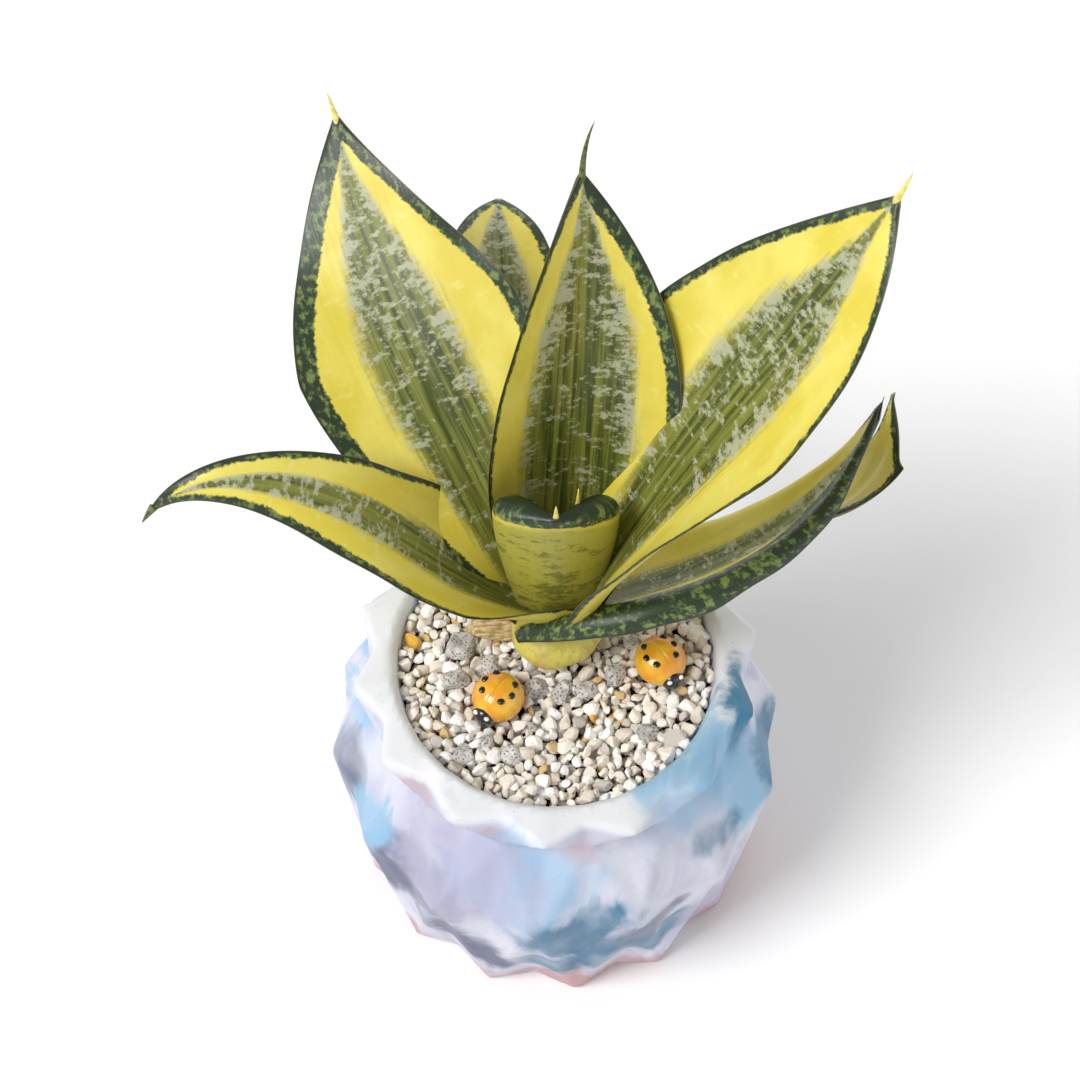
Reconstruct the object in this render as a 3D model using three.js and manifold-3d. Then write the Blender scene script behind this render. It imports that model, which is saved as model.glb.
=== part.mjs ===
// Golden Hahnii snake plant in a faceted marbled cement pot.
// Units are millimetres and +Z is up. The origin is the middle of the pot's underside, and -Y is the front.
import * as THREE from 'three';
import { mergeVertices } from 'three/addons/utils/BufferGeometryUtils.js';
import Module from 'manifold-3d';

// ---- Driving dimensions ------------------------------------------------------------------------

const GAP = 0.35; // clearance left between touching pieces

const POT = {
  height: 95,
  lobes: 14, // facet columns round the pot
  floor: 9, // thickness of the floor
  mouth: 40, // radius of the opening
  floorRadius: 33, // inner radius at the floor
  drainHoles: 3,
  drainRadius: 1.8,
  drainCircle: 14, // radius of the circle that the drain holes sit on
};

// Each ring of facet corners: radius, drop below the lip, and its turn about the pot's axis in degrees.
const RINGS = {
  tip: { radius: 50.5, drop: 2, turn: -94 }, // outermost points of the wavy lip
  notch: { radius: 47, drop: 0.8 }, // dips between the lip's points
  collar: { radius: 48.7, drop: 13.5, turn: -93.5 }, // narrow ring under the lip
  belly: { radius: 59, drop: 39, turn: -95 }, // widest ring
  foot: { radius: 53.5, turn: -97 }, // points that the pot stands on
  footNotch: { radius: 49, lift: 1.5 }, // dips between the foot's points
};

const SOIL_TOP = 81;
const GRAVEL_TOP = 88;

const CROWN = {
  x: 0,
  y: 6,
  profile: [
    [0, 73],
    [4.5, 75],
    [6, 81],
    [6, 88],
    [7.5, 92],
    [11, 97],
    [11, 101],
    [6, 105],
    [0, 106],
  ],
};

// A leaf leaves the crown at azimuth `aim`, climbs at the angles `rise` (base, middle, tip), swings
// sideways by `sway` and rolls about its midrib from `roll[0]` to `roll[1]`. `half` is the widest
// half-width, reached at the fraction `widest`; `neck` is the share of it left at the base, and `point`
// sets how full the tip is. `cup` is how far the blade curls at base and tip; `flare` uncurls its margins,
// or rolls them in where it is negative. `twist` is extra roll, nearly all of it close to the tip.
const LEAVES = {
  leaf_front_young: {
    aim: -90, rise: [92, 88, 88], sway: 0, length: 61, root: [0, 4, 95],
    roll: [0, 0], half: 22, neck: 0.42, widest: 0.88, point: 2.6, cup: [50, 46], flare: -130, twist: 0,
  },
  leaf_centre_tall: {
    aim: 79, rise: [58, 73, 36], sway: 15, length: 127, root: [1, 6, 93],
    roll: [-7, 33], half: 25, neck: 0.24, widest: 0.51, point: 2.1, cup: [78, 34], flare: 0, twist: 0,
  },
  leaf_rear_bent: {
    aim: 103, rise: [56, 22, -18], sway: -15, length: 120, root: [-1, 9, 92],
    roll: [0, 0], half: 15.5, neck: 0.3, widest: 0.5, point: 4, cup: [50, 24], flare: 0, twist: 0,
  },
  leaf_back_left: {
    aim: 125, rise: [65, 30, 36], sway: -22, length: 131, root: [-5.4, 10.3, 99.1],
    roll: [-2, -31], half: 29, neck: 0.24, widest: 0.57, point: 1.27, cup: [49, 12], flare: 0, twist: 0,
  },
  leaf_back_right: {
    aim: 27, rise: [75, 54, 55], sway: 7, length: 138, root: [6.7, 3.3, 106.4],
    roll: [-32, 10], half: 30, neck: 0.3, widest: 0.58, point: 1.55, cup: [77, 18], flare: 0, twist: 0,
  },
  leaf_low_left: {
    aim: 167.5, rise: [-7.7, 46.5, -57.6], sway: 25, length: 123.6, root: [8.3, 1.8, 106.4],
    roll: [51, -59.4], half: 20.6, neck: 0.53, widest: 0.32, point: 0.91, cup: [68, -25], flare: 0, twist: 0,
  },
  leaf_low_right: {
    aim: 5, rise: [28, 21, 62], sway: 57, length: 108, root: [-7, 4.4, 101.5],
    roll: [-38, -26], half: 23.5, neck: 0.47, widest: 0.29, point: 1.4, cup: [72, 53], flare: 151, twist: -60,
  },
  husk: {
    aim: 172, rise: [20, 5, -15], sway: 10, length: 15, root: [-8, 7.5, 91],
    roll: [10, -10], half: 4.5, neck: 0.7, widest: 0.4, point: 2, cup: [70, 50], flare: 0, twist: 0,
  },
};
const SPEAR = { foot: [3, 9, 100], tip: [5, 7.5, 160], radius: 2.5 };

// Porous stones lying on the gravel: middle of each stone in plan, its length and its turn in degrees.
const PUMICE = [
  { x: -5, y: -7.2, length: 6.5, turn: 20 },
  { x: 1.5, y: -8, length: 6, turn: 95 },
  { x: 7.5, y: -7.5, length: 5.5, turn: 160 },
  { x: 14.5, y: -3, length: 6.5, turn: 60 },
  { x: 18.5, y: 5.5, length: 5, turn: 10 },
  { x: -16.5, y: -1, length: 6.5, turn: 75 },
  { x: -24, y: 4, length: 8.5, turn: 15 },
  { x: -25, y: -5, length: 7, turn: 170 },
  { x: -17, y: -22.3, length: 5.5, turn: 120 },
  { x: -11, y: -25.5, length: 6.5, turn: 30 },
  { x: -22.5, y: -25, length: 6, turn: 80 },
  { x: 22, y: -19, length: 6, turn: 140 },
];

// Resin ornaments: middle in plan, length of the body and the direction that it faces in degrees.
const ORNAMENTS = {
  ornament_left: { x: -14.5, y: -11.5, length: 14.5, turn: -125 },
  ornament_right: { x: 26, y: -1.5, length: 14.5, turn: -60 },
};

const BLADE = { rows: 18, columns: 12, middle: 2.4, margin: 1.1 }; // mesh divisions and blade thickness

// ---- Materials ---------------------------------------------------------------------------------

function paint(color, roughness) {
  return new THREE.MeshStandardMaterial({ color, roughness, metalness: 0 });
}

const MATERIALS = {
  cement: paint(0xdfe3ea, 0.6),
  soil: paint(0x3a2a1e, 0.95),
  gravel: paint(0xe9e2d6, 0.85),
  pumice: paint(0xb9b4ae, 0.95),
  crown: paint(0xcfc26a, 0.55),
  leaf: paint(0xb9b53a, 0.45),
  husk: paint(0xb8925a, 0.85),
  resin: paint(0xe9ac32, 0.25),
};

// ---- Geometry helpers --------------------------------------------------------------------------

const wasm = await Module();
wasm.setup();

function toSolid(geometry) {
  const bare = geometry.clone();
  bare.deleteAttribute('normal');
  bare.deleteAttribute('uv');
  const merged = mergeVertices(bare, 1e-4);
  const mesh = new wasm.Mesh({
    numProp: 3,
    vertProperties: new Float32Array(merged.attributes.position.array),
    triVerts: new Uint32Array(merged.index.array),
  });
  return new wasm.Manifold(mesh);
}

function toGeometry(solid) {
  const mesh = solid.getMesh();
  const geometry = new THREE.BufferGeometry();
  geometry.setAttribute('position', new THREE.BufferAttribute(mesh.vertProperties, 3));
  geometry.setIndex(new THREE.BufferAttribute(mesh.triVerts, 1));
  return geometry;
}

// The largest separate body of a solid, without the crumbs that a cut can leave.
function largestBody(solid) {
  const bodies = solid.decompose();
  return bodies.reduce((best, body) => (body.volume() > best.volume() ? body : best));
}

function polar(radius, degrees, z) {
  const angle = THREE.MathUtils.degToRad(degrees);
  return new THREE.Vector3(radius * Math.cos(angle), radius * Math.sin(angle), z);
}

// Joins rings of points, each with the same even count, from a bottom pole to a top pole. In the rows
// from a ring named in `evenRows`, the diagonals start at even corners, and otherwise at odd ones.
function poleLoft(bottom, rings, top, evenRows) {
  const count = rings[0].length;
  const points = [bottom, ...rings.flat(), top];
  const indices = [];
  const at = (row, column) => 1 + row * count + (column % count);
  for (let column = 0; column < count; column += 1) {
    indices.push(0, at(0, column + 1), at(0, column));
    for (let row = 0; row + 1 < rings.length; row += 1) {
      const [a, b] = [at(row, column), at(row, column + 1)];
      const [c, d] = [at(row + 1, column), at(row + 1, column + 1)];
      if ((column % 2 === 0) === evenRows.includes(row)) {
        indices.push(a, b, d, a, d, c);
      } else {
        indices.push(a, b, c, b, d, c);
      }
    }
    const last = rings.length - 1;
    indices.push(at(last, column), at(last, column + 1), points.length - 1);
  }
  const geometry = new THREE.BufferGeometry();
  geometry.setFromPoints(points);
  geometry.setIndex(indices);
  return geometry;
}

// ---- Pot ---------------------------------------------------------------------------------------

// A ring of facet corners: even points are in line with the lip's points and odd ones with its dips.
function potRing(pointAt) {
  const points = [];
  for (let index = 0; index < 2 * POT.lobes; index += 1) {
    points.push(pointAt(index * (180 / POT.lobes), index % 2 === 0));
  }
  return points;
}

function roundRing(radius, z) {
  return potRing((angle) => polar(radius, RINGS.tip.turn + angle, z));
}

// Corners alternate with the middles of the straight edges that join them.
function facetRing({ radius, drop, turn }, cornersAreEven) {
  const middle = radius * Math.cos(Math.PI / POT.lobes);
  const z = POT.height - drop;
  return potRing((angle, even) => polar(even === cornersAreEven ? radius : middle, turn + angle, z));
}

function lipRing() {
  const { tip, notch } = RINGS;
  return potRing((angle, even) => {
    const corner = even ? tip : notch;
    return polar(corner.radius, tip.turn + angle, POT.height - corner.drop);
  });
}

function footRing() {
  const { foot, footNotch } = RINGS;
  return potRing((angle, even) => {
    const radius = even ? footNotch.radius : foot.radius;
    return polar(radius, foot.turn + angle, even ? footNotch.lift : 0);
  });
}

function drainHole(index) {
  const hole = new THREE.CylinderGeometry(POT.drainRadius, POT.drainRadius, 3 * POT.floor, 16);
  hole.rotateX(Math.PI / 2);
  const centre = polar(POT.drainCircle, 90 + (index * 360) / POT.drainHoles, 0);
  hole.translate(centre.x, centre.y, 0);
  return toSolid(hole);
}

function potGeometry() {
  const rings = [
    roundRing(RINGS.footNotch.radius - 3, 0),
    footRing(),
    facetRing(RINGS.belly, true),
    facetRing(RINGS.collar, false),
    lipRing(),
    roundRing(POT.mouth + 1.5, POT.height),
    roundRing(POT.mouth, POT.height - 1.5),
    roundRing(POT.mouth - 1, GRAVEL_TOP),
    roundRing(POT.floorRadius, POT.floor),
  ];
  const bottom = new THREE.Vector3(0, 0, 0);
  const top = new THREE.Vector3(0, 0, POT.floor);
  let pot = toSolid(poleLoft(bottom, rings, top, [2]));
  for (let index = 0; index < POT.drainHoles; index += 1) {
    pot = pot.subtract(drainHole(index));
  }
  return toGeometry(pot);
}

// Inner radius of the pot at a height between its floor and the gravel's top.
function wallRadius(z) {
  const share = (z - POT.floor) / (GRAVEL_TOP - POT.floor);
  return THREE.MathUtils.lerp(POT.floorRadius, POT.mouth - 1, share);
}

// ---- Soil, gravel and crown --------------------------------------------------------------------

const ROUND_SIDES = 2 * POT.lobes;

function lathe(profile, sides) {
  const geometry = new THREE.LatheGeometry(profile.map(([r, z]) => new THREE.Vector2(r, z)), sides);
  geometry.rotateX(Math.PI / 2);
  return geometry;
}

// A turned filling that keeps clear of the pot's wall between two heights.
function filling(bottom, top) {
  const clear = 2 * GAP;
  return toSolid(lathe([
    [0, bottom],
    [wallRadius(bottom) - clear, bottom],
    [wallRadius(top) - clear, top],
    [0, top],
  ], ROUND_SIDES));
}

function crownSolid(clearance) {
  const profile = CROWN.profile.map(([r, z], index) => {
    const end = index === 0 ? -clearance : index === CROWN.profile.length - 1 ? clearance : 0;
    return [r === 0 ? 0 : r + clearance, z + end];
  });
  const geometry = lathe(profile, 16);
  geometry.translate(CROWN.x, CROWN.y, 0);
  return toSolid(geometry);
}

function soilGeometry() {
  return toGeometry(filling(POT.floor + GAP, SOIL_TOP).subtract(crownSolid(GAP)));
}

function gravelGeometry() {
  return toGeometry(filling(SOIL_TOP + GAP, GRAVEL_TOP).subtract(crownSolid(GAP)));
}

// ---- Leaves ------------------------------------------------------------------------------------

// Half-width of a leaf along its length, as a share of its widest half-width.
function leafWidth({ neck, widest, point }, t) {
  if (t < widest) {
    return neck + (1 - neck) * Math.sin((Math.PI / 2) * (t / widest));
  }
  return 1 - ((t - widest) / (1 - widest)) ** point;
}

// A value given at the base, middle and tip, as a smooth curve along the leaf.
function alongLeaf([base, middle, tip], t) {
  return base * (1 - t) * (1 - 2 * t) + middle * 4 * t * (1 - t) + tip * t * (2 * t - 1);
}

// Slope of a leaf's section at a fraction of its half-width, where the margins may uncurl again.
function sectionSlope(cup, flare, fraction) {
  return cup * fraction - flare * THREE.MathUtils.smoothstep(fraction, 0.5, 1);
}

// Sideways and upward travel from the midrib to a fraction of the half-width, for a half-width of 1.
function crossSection(cup, flare, fraction) {
  const steps = 8;
  let across = 0;
  let up = 0;
  for (let step = 0; step < steps; step += 1) {
    const slope = sectionSlope(cup, flare, ((step + 0.5) / steps) * fraction);
    across += (Math.cos(slope) * fraction) / steps;
    up += (Math.sin(slope) * fraction) / steps;
  }
  return { across, up };
}

// Points, directions and widths at even steps along a leaf's midrib.
function leafSpine(leaf) {
  const stations = [];
  const place = new THREE.Vector3(...leaf.root);
  const stepLength = leaf.length / BLADE.rows;
  for (let row = 0; row <= BLADE.rows; row += 1) {
    const t = row / BLADE.rows;
    const rise = THREE.MathUtils.degToRad(alongLeaf(leaf.rise, t));
    const aim = THREE.MathUtils.degToRad(leaf.aim + leaf.sway * t * t);
    const level = new THREE.Vector3(Math.cos(aim), Math.sin(aim), 0);
    const along = level.multiplyScalar(Math.cos(rise)).setZ(Math.sin(rise));
    if (row > 0) {
      place.addScaledVector(stations[row - 1].along, stepLength / 2);
      place.addScaledVector(along, stepLength / 2);
    }
    const turn = THREE.MathUtils.lerp(leaf.roll[0], leaf.roll[1], t) + leaf.twist * t ** 6;
    const roll = THREE.MathUtils.degToRad(turn);
    const side = new THREE.Vector3(-Math.sin(aim), Math.cos(aim), 0).applyAxisAngle(along, roll);
    const face = new THREE.Vector3().crossVectors(along, side);
    const half = Math.max(leaf.half * leafWidth(leaf, t), 0.6);
    const cup = THREE.MathUtils.degToRad(THREE.MathUtils.lerp(leaf.cup[0], leaf.cup[1], t));
    stations.push({ place: place.clone(), along, side, face, half, cup });
  }
  return stations;
}

// The ring of points round a leaf's section: along the lower face, then back along the upper one.
function leafRing(station, flare, clearance) {
  const half = station.half + clearance;
  const upper = [];
  const lower = [];
  for (let column = 0; column <= BLADE.columns; column += 1) {
    const fraction = (2 * column) / BLADE.columns - 1;
    const { across, up } = crossSection(station.cup, flare, Math.abs(fraction));
    const slope = sectionSlope(station.cup, flare, Math.abs(fraction)) * Math.sign(fraction);
    const outward = station.face.clone().multiplyScalar(Math.cos(slope));
    outward.addScaledVector(station.side, -Math.sin(slope));
    const point = station.place.clone();
    point.addScaledVector(station.side, half * across * Math.sign(fraction));
    point.addScaledVector(station.face, half * up);
    const full = THREE.MathUtils.lerp(BLADE.middle, BLADE.margin, fraction * fraction);
    const thickness = Math.min(full, station.half) / 2 + clearance;
    upper.push(point.clone().addScaledVector(outward, thickness));
    lower.push(point.clone().addScaledVector(outward, -thickness));
  }
  return [...lower, ...upper.reverse()];
}

function leafSolid(leaf, clearance) {
  const stations = leafSpine(leaf);
  const flare = THREE.MathUtils.degToRad(leaf.flare);
  const rings = stations.map((station) => leafRing(station, flare, clearance));
  const ends = [stations[0], stations[stations.length - 1]];
  const [bottom, top] = ends.map((station, index) => {
    const outward = (index === 0 ? -1 : 1) * (0.5 + clearance);
    return station.place.clone().addScaledVector(station.along, outward);
  });
  return toSolid(poleLoft(bottom, rings, top, []));
}

// The pointed young leaf that is still rolled up in the middle of the crown.
function spearSolid(clearance) {
  const { foot, tip, radius } = SPEAR;
  const axis = new THREE.Vector3().subVectors(new THREE.Vector3(...tip), new THREE.Vector3(...foot));
  const geometry = lathe([
    [0, -clearance],
    [radius + clearance, -clearance],
    [radius * 0.9 + clearance, axis.length() * 0.6],
    [0, axis.length() + clearance],
  ], 10);
  const upright = new THREE.Vector3(0, 0, 1);
  geometry.applyQuaternion(new THREE.Quaternion().setFromUnitVectors(upright, axis.normalize()));
  geometry.translate(...foot);
  return toSolid(geometry);
}

// Each leaf is trimmed by the crown and by the younger leaves inside it, with a gap between them.
function leafMeshes() {
  const meshes = [];
  let inside = crownSolid(GAP).add(spearSolid(GAP)).add(filling(SOIL_TOP, GRAVEL_TOP + GAP));
  for (const [name, leaf] of Object.entries(LEAVES)) {
    const blade = largestBody(leafSolid(leaf, 0).subtract(inside));
    const material = name === 'husk' ? MATERIALS.husk : MATERIALS.leaf;
    meshes.push(named(name, toGeometry(blade), material));
    inside = inside.add(leafSolid(leaf, GAP)).add(blade);
  }
  return meshes;
}

// ---- Stones and ornaments ----------------------------------------------------------------------

const SHAPES = {
  pumice: { height: 0.75, width: 0.8, dent: 0.09 },
  ornament: { height: 0.78, width: 0.86 },
};

// A rough stone, whose corners are pushed in and out by two waves that differ from stone to stone.
function pumiceGeometry({ x, y, length, turn }, index) {
  const geometry = new THREE.IcosahedronGeometry(length / 2, 1);
  const corners = geometry.attributes.position;
  const corner = new THREE.Vector3();
  for (let place = 0; place < corners.count; place += 1) {
    corner.fromBufferAttribute(corners, place);
    const wave = Math.sin(1.9 * corner.x + 2.3 * index) + Math.cos(1.7 * corner.y - corner.z + index);
    corner.multiplyScalar(1 + SHAPES.pumice.dent * wave);
    corners.setXYZ(place, corner.x, corner.y * SHAPES.pumice.width, corner.z * SHAPES.pumice.height);
  }
  geometry.rotateZ(THREE.MathUtils.degToRad(turn));
  return restOnGravel(geometry, x, y);
}

function ornamentGeometry({ x, y, length, turn }) {
  const geometry = new THREE.SphereGeometry(length / 2, 16, 10);
  geometry.scale(1, SHAPES.ornament.width, SHAPES.ornament.height);
  geometry.rotateZ(THREE.MathUtils.degToRad(turn));
  return restOnGravel(geometry, x, y);
}

function restOnGravel(geometry, x, y) {
  geometry.computeBoundingBox();
  geometry.translate(x, y, GRAVEL_TOP + GAP - geometry.boundingBox.min.z);
  return geometry;
}

// ---- Assembly ----------------------------------------------------------------------------------

function named(name, geometry, material) {
  const mesh = new THREE.Mesh(geometry, material);
  mesh.name = name;
  return mesh;
}

const plant = new THREE.Group();
plant.add(named('pot', potGeometry(), MATERIALS.cement));
plant.add(named('soil', soilGeometry(), MATERIALS.soil));
plant.add(named('gravel_bed', gravelGeometry(), MATERIALS.gravel));
plant.add(named('crown', toGeometry(crownSolid(0)), MATERIALS.crown));
plant.add(named('leaf_spear', toGeometry(spearSolid(0).subtract(crownSolid(GAP))), MATERIALS.leaf));
plant.add(...leafMeshes());
PUMICE.forEach((stone, index) => {
  const name = `pumice_${String(index + 1).padStart(2, '0')}`;
  plant.add(named(name, pumiceGeometry(stone, index), MATERIALS.pumice));
});
for (const [name, ornament] of Object.entries(ORNAMENTS)) {
  plant.add(named(name, ornamentGeometry(ornament), MATERIALS.resin));
}

export default plant;
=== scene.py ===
"""Looks of a Golden Hahnii snake plant in a faceted marbled cement pot.

Lengths below are in millimetres unless a name says otherwise, and meshes are scaled to metres as they
are made. +Z is up, the origin is the middle of the pot's underside and -Y is the front.
"""

import math
import random

import bmesh
import bpy
import numpy as np
from mathutils import Euler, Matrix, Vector, noise


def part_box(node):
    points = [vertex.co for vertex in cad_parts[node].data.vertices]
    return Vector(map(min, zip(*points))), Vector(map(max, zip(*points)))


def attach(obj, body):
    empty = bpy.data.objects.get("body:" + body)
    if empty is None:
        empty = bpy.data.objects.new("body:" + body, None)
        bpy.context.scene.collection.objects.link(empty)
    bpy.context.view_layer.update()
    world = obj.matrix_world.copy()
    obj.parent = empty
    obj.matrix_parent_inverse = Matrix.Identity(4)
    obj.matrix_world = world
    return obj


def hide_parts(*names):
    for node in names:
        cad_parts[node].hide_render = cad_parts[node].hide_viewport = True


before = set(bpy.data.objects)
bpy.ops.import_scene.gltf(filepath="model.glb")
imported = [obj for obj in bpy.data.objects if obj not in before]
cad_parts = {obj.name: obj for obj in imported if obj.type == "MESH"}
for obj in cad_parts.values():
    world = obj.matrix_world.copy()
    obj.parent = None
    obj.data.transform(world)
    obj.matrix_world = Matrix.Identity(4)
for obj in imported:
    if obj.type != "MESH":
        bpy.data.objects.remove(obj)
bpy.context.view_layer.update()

MM = 0.001
SEED = 11

# ---- Driving dimensions -------------------------------------------------------------------------

# Belly and foot are as in the CAD part. The lip and the collar have more relief than there, so that
# the facets still show once the pot is softened.
POT_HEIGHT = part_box("pot")[1].z / MM
LOBES = 14
FLOOR = 9.0
MOUTH = 40.0
FLOOR_RADIUS = 33.0
GRAVEL_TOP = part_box("gravel_bed")[1].z / MM
RINGS = {
    "tip": {"radius": 51.2, "drop": 2.0, "turn": -94.0},
    "notch": {"radius": 45.0, "drop": 1.4},
    "collar": {"radius": 46.6, "drop": 13.5, "turn": -93.5},
    "belly": {"radius": 59.0, "drop": 39.0, "turn": -95.0},
    "foot": {"radius": 53.5, "turn": -97.0},
    "foot_notch": {"radius": 49.0, "lift": 1.5},
}
HOLLOW = 2.0  # extra depth of the facets between their corners
LIP_EDGE = 1.5  # how far the flat lip is rounded off towards the mouth
FOOT_INSET = 3  # from the foot's notches to the flat underside
VOXEL = 1.2
CROWN_CENTRE = (0.0, 6.0)
CROWN_PROFILE = [
    (0, 73), (4.5, 75), (6, 81), (6, 88), (7.5, 92), (11, 97), (11, 101), (6, 105), (0, 106),
]

# Each leaf as in the CAD part, with the extra detail of its look: `wave` is how far its margins swing,
# `stripe` the green stripe's share of the half-width, `border` the width of the dark margins on its
# two sides, `spine` the length of the thin point at its tip, `hook` the degrees by which that point
# turns up, `thorn` its colour, `backing` how strongly the underside is mottled and `bare` the share of
# the length over which the dark margins grow from the base.
LEAVES = {
    "leaf_front_young": dict(
        aim=-90, rise=(92, 88, 88), sway=0, length=61, root=(0, 4, 95), roll=(0, 0),
        half=22, neck=0.42, widest=0.88, point=2.6, cup=(50, 46), flare=-130, twist=0,
        wave=0.2, stripe=0.3, border=(2.8, 2.8), spine=5, hook=0, thorn="pale",
        backing=1.0, bare=0.1,
    ),
    "leaf_centre_tall": dict(
        aim=79, rise=(58, 73, 36), sway=15, length=127, root=(1, 6, 93), roll=(-7, 33),
        half=25, neck=0.24, widest=0.51, point=2.1, cup=(78, 34), flare=0, twist=0,
        wave=0.5, stripe=0.58, border=(1.4, 3.4), spine=11, hook=45, thorn="green",
        backing=0.4, bare=0.15,
    ),
    "leaf_rear_bent": dict(
        aim=103, rise=(56, 22, -18), sway=-15, length=120, root=(-1, 9, 92), roll=(0, 0),
        half=15.5, neck=0.3, widest=0.5, point=4, cup=(50, 24), flare=0, twist=0,
        wave=0.4, stripe=0.5, border=(2.2, 2.2), spine=0, backing=0.4, bare=0.1,
    ),
    "leaf_back_left": dict(
        aim=125, rise=(65, 30, 36), sway=-22, length=131, root=(-5.4, 10.3, 99.1), roll=(-2, -31),
        half=29, neck=0.24, widest=0.57, point=1.27, cup=(49, 12), flare=0, twist=0,
        wave=0.8, stripe=0.42, border=(5.0, 3.0), spine=5, hook=30, thorn="pale",
        backing=0.4, bare=0.15,
    ),
    "leaf_back_right": dict(
        aim=27, rise=(75, 54, 55), sway=7, length=138, root=(6.7, 3.3, 106.4), roll=(-32, 10),
        half=30, neck=0.3, widest=0.58, point=1.55, cup=(77, 18), flare=0, twist=0,
        wave=0.8, stripe=0.44, border=(2.0, 1.6), spine=6, hook=20, thorn="pale",
        backing=0.4, bare=0.15,
    ),
    "leaf_low_left": dict(
        aim=167.5, rise=(-7.7, 46.5, -57.6), sway=25, length=123.6, root=(8.3, 1.8, 106.4),
        roll=(51, -59.4), half=20.6, neck=0.53, widest=0.32, point=0.91, cup=(68, -25), flare=0,
        twist=0, wave=0.6, stripe=0.36, border=(2.0, 1.6), spine=3, hook=0, thorn="green",
        backing=0.4, bare=0.6,
    ),
    "leaf_low_right": dict(
        aim=5, rise=(28, 21, 62), sway=57, length=108, root=(-7, 4.4, 101.5), roll=(-38, -26),
        half=23.5, neck=0.47, widest=0.29, point=1.4, cup=(72, 53), flare=151, twist=-60,
        wave=0.7, stripe=0.3, border=(1.6, 10.0), spine=0, backing=0.4, bare=0.1,
    ),
}
# The far half of the low right leaf, which turns under near the tip and shows beyond the other margin.
FOLD = dict(
    aim=19.7, rise=(-26.5, 40.8, 93.7), sway=131, length=48.3, root=(57.1, 19.2, 127.5),
    roll=(-43, -36), half=8.3, neck=0.18, widest=0.61, point=0.36, cup=(20, 10), flare=0, twist=0,
    wave=0.0, stripe=0.0, border=(0.2, 1.6), spine=0, backing=0.4, bare=0.1,
)
HUSK = dict(
    aim=172, rise=(20, 5, -15), sway=10, length=15, root=(-8, 7.5, 91), roll=(10, -10),
    half=4.5, neck=0.7, widest=0.4, point=2, cup=(70, 50), flare=0, twist=0,
    wave=0.7, stripe=0.4, border=(1.0, 1.0), spine=0, backing=0, bare=0.1,
)
BLADE = {"rows": 150, "columns": 44, "middle": 2.4, "margin": 0.7}
THORN_ROWS = 24
SPEAR = {"foot": (3, 9, 100), "tip": (5, 7.5, 160), "radius": 2.5}


# ---- Node helpers -------------------------------------------------------------------------------

class Nodes:
    """A material's node tree, with one short call for each kind of node."""

    def __init__(self, name):
        self.material = bpy.data.materials.new(name)
        self.material.use_nodes = True
        self.tree = self.material.node_tree
        self.tree.nodes.clear()
        self.shader = self.new("ShaderNodeBsdfPrincipled")
        output = self.new("ShaderNodeOutputMaterial")
        self.link(self.shader.outputs["BSDF"], output.inputs["Surface"])

    def new(self, kind, **settings):
        node = self.tree.nodes.new(kind)
        for key, value in settings.items():
            setattr(node, key, value)
        return node

    def link(self, source, target):
        self.tree.links.new(source, target)

    def feed(self, socket, value):
        if isinstance(value, bpy.types.NodeSocket):
            self.link(value, socket)
        else:
            socket.default_value = value

    def math(self, operation, first, second=0.0, third=0.0):
        node = self.new("ShaderNodeMath", operation=operation)
        for socket, value in zip(node.inputs, (first, second, third)):
            self.feed(socket, value)
        return node.outputs[0]

    def span(self, value, low, high, to_low=0.0, to_high=1.0):
        """value mapped smoothly from low..high to to_low..to_high, and held there beyond them."""
        node = self.new("ShaderNodeMapRange", interpolation_type="SMOOTHSTEP")
        for index, entry in enumerate((value, low, high, to_low, to_high)):
            self.feed(node.inputs[index], entry)
        return node.outputs[0]

    def mix(self, share, first, second):
        node = self.new("ShaderNodeMix", data_type="RGBA", clamp_factor=True)
        self.feed(node.inputs["Factor"], share)
        self.feed(node.inputs["A"], first)
        self.feed(node.inputs["B"], second)
        return node.outputs["Result"]

    def attribute(self, name):
        return self.new("ShaderNodeAttribute", attribute_name=name)

    def place(self):
        return self.new("ShaderNodeTexCoord").outputs["Object"]

    def parts(self, vector):
        """The X, Y and Z of a vector."""
        node = self.new("ShaderNodeSeparateXYZ")
        self.link(vector, node.inputs[0])
        return node.outputs

    def scaled(self, vector, scale, shift=(0, 0, 0)):
        node = self.new("ShaderNodeMapping")
        self.link(vector, node.inputs["Vector"])
        node.inputs["Scale"].default_value = scale
        node.inputs["Location"].default_value = shift
        return node.outputs["Vector"]

    def noise(self, vector, scale, detail=2.0, rough=0.5, distort=0.0):
        node = self.new("ShaderNodeTexNoise")
        self.link(vector, node.inputs["Vector"])
        node.inputs["Scale"].default_value = scale
        node.inputs["Detail"].default_value = detail
        node.inputs["Roughness"].default_value = rough
        node.inputs["Distortion"].default_value = distort
        return node.outputs["Fac"]

    def voronoi(self, vector, scale):
        node = self.new("ShaderNodeTexVoronoi")
        self.link(vector, node.inputs["Vector"])
        node.inputs["Scale"].default_value = scale
        return node.outputs["Distance"]

    def bump(self, height, strength, distance, onto=None):
        node = self.new("ShaderNodeBump")
        node.inputs["Strength"].default_value = strength
        node.inputs["Distance"].default_value = distance
        self.link(height, node.inputs["Height"])
        if onto is not None:
            self.link(onto, node.inputs["Normal"])
        return node.outputs["Normal"]

    def finish(self, colour, roughness, normal=None, **sockets):
        self.feed(self.shader.inputs["Base Color"], colour)
        self.feed(self.shader.inputs["Roughness"], roughness)
        if normal is not None:
            self.link(normal, self.shader.inputs["Normal"])
        for name, value in sockets.items():
            self.shader.inputs[name.replace("_", " ")].default_value = value
        return self.material


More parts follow.
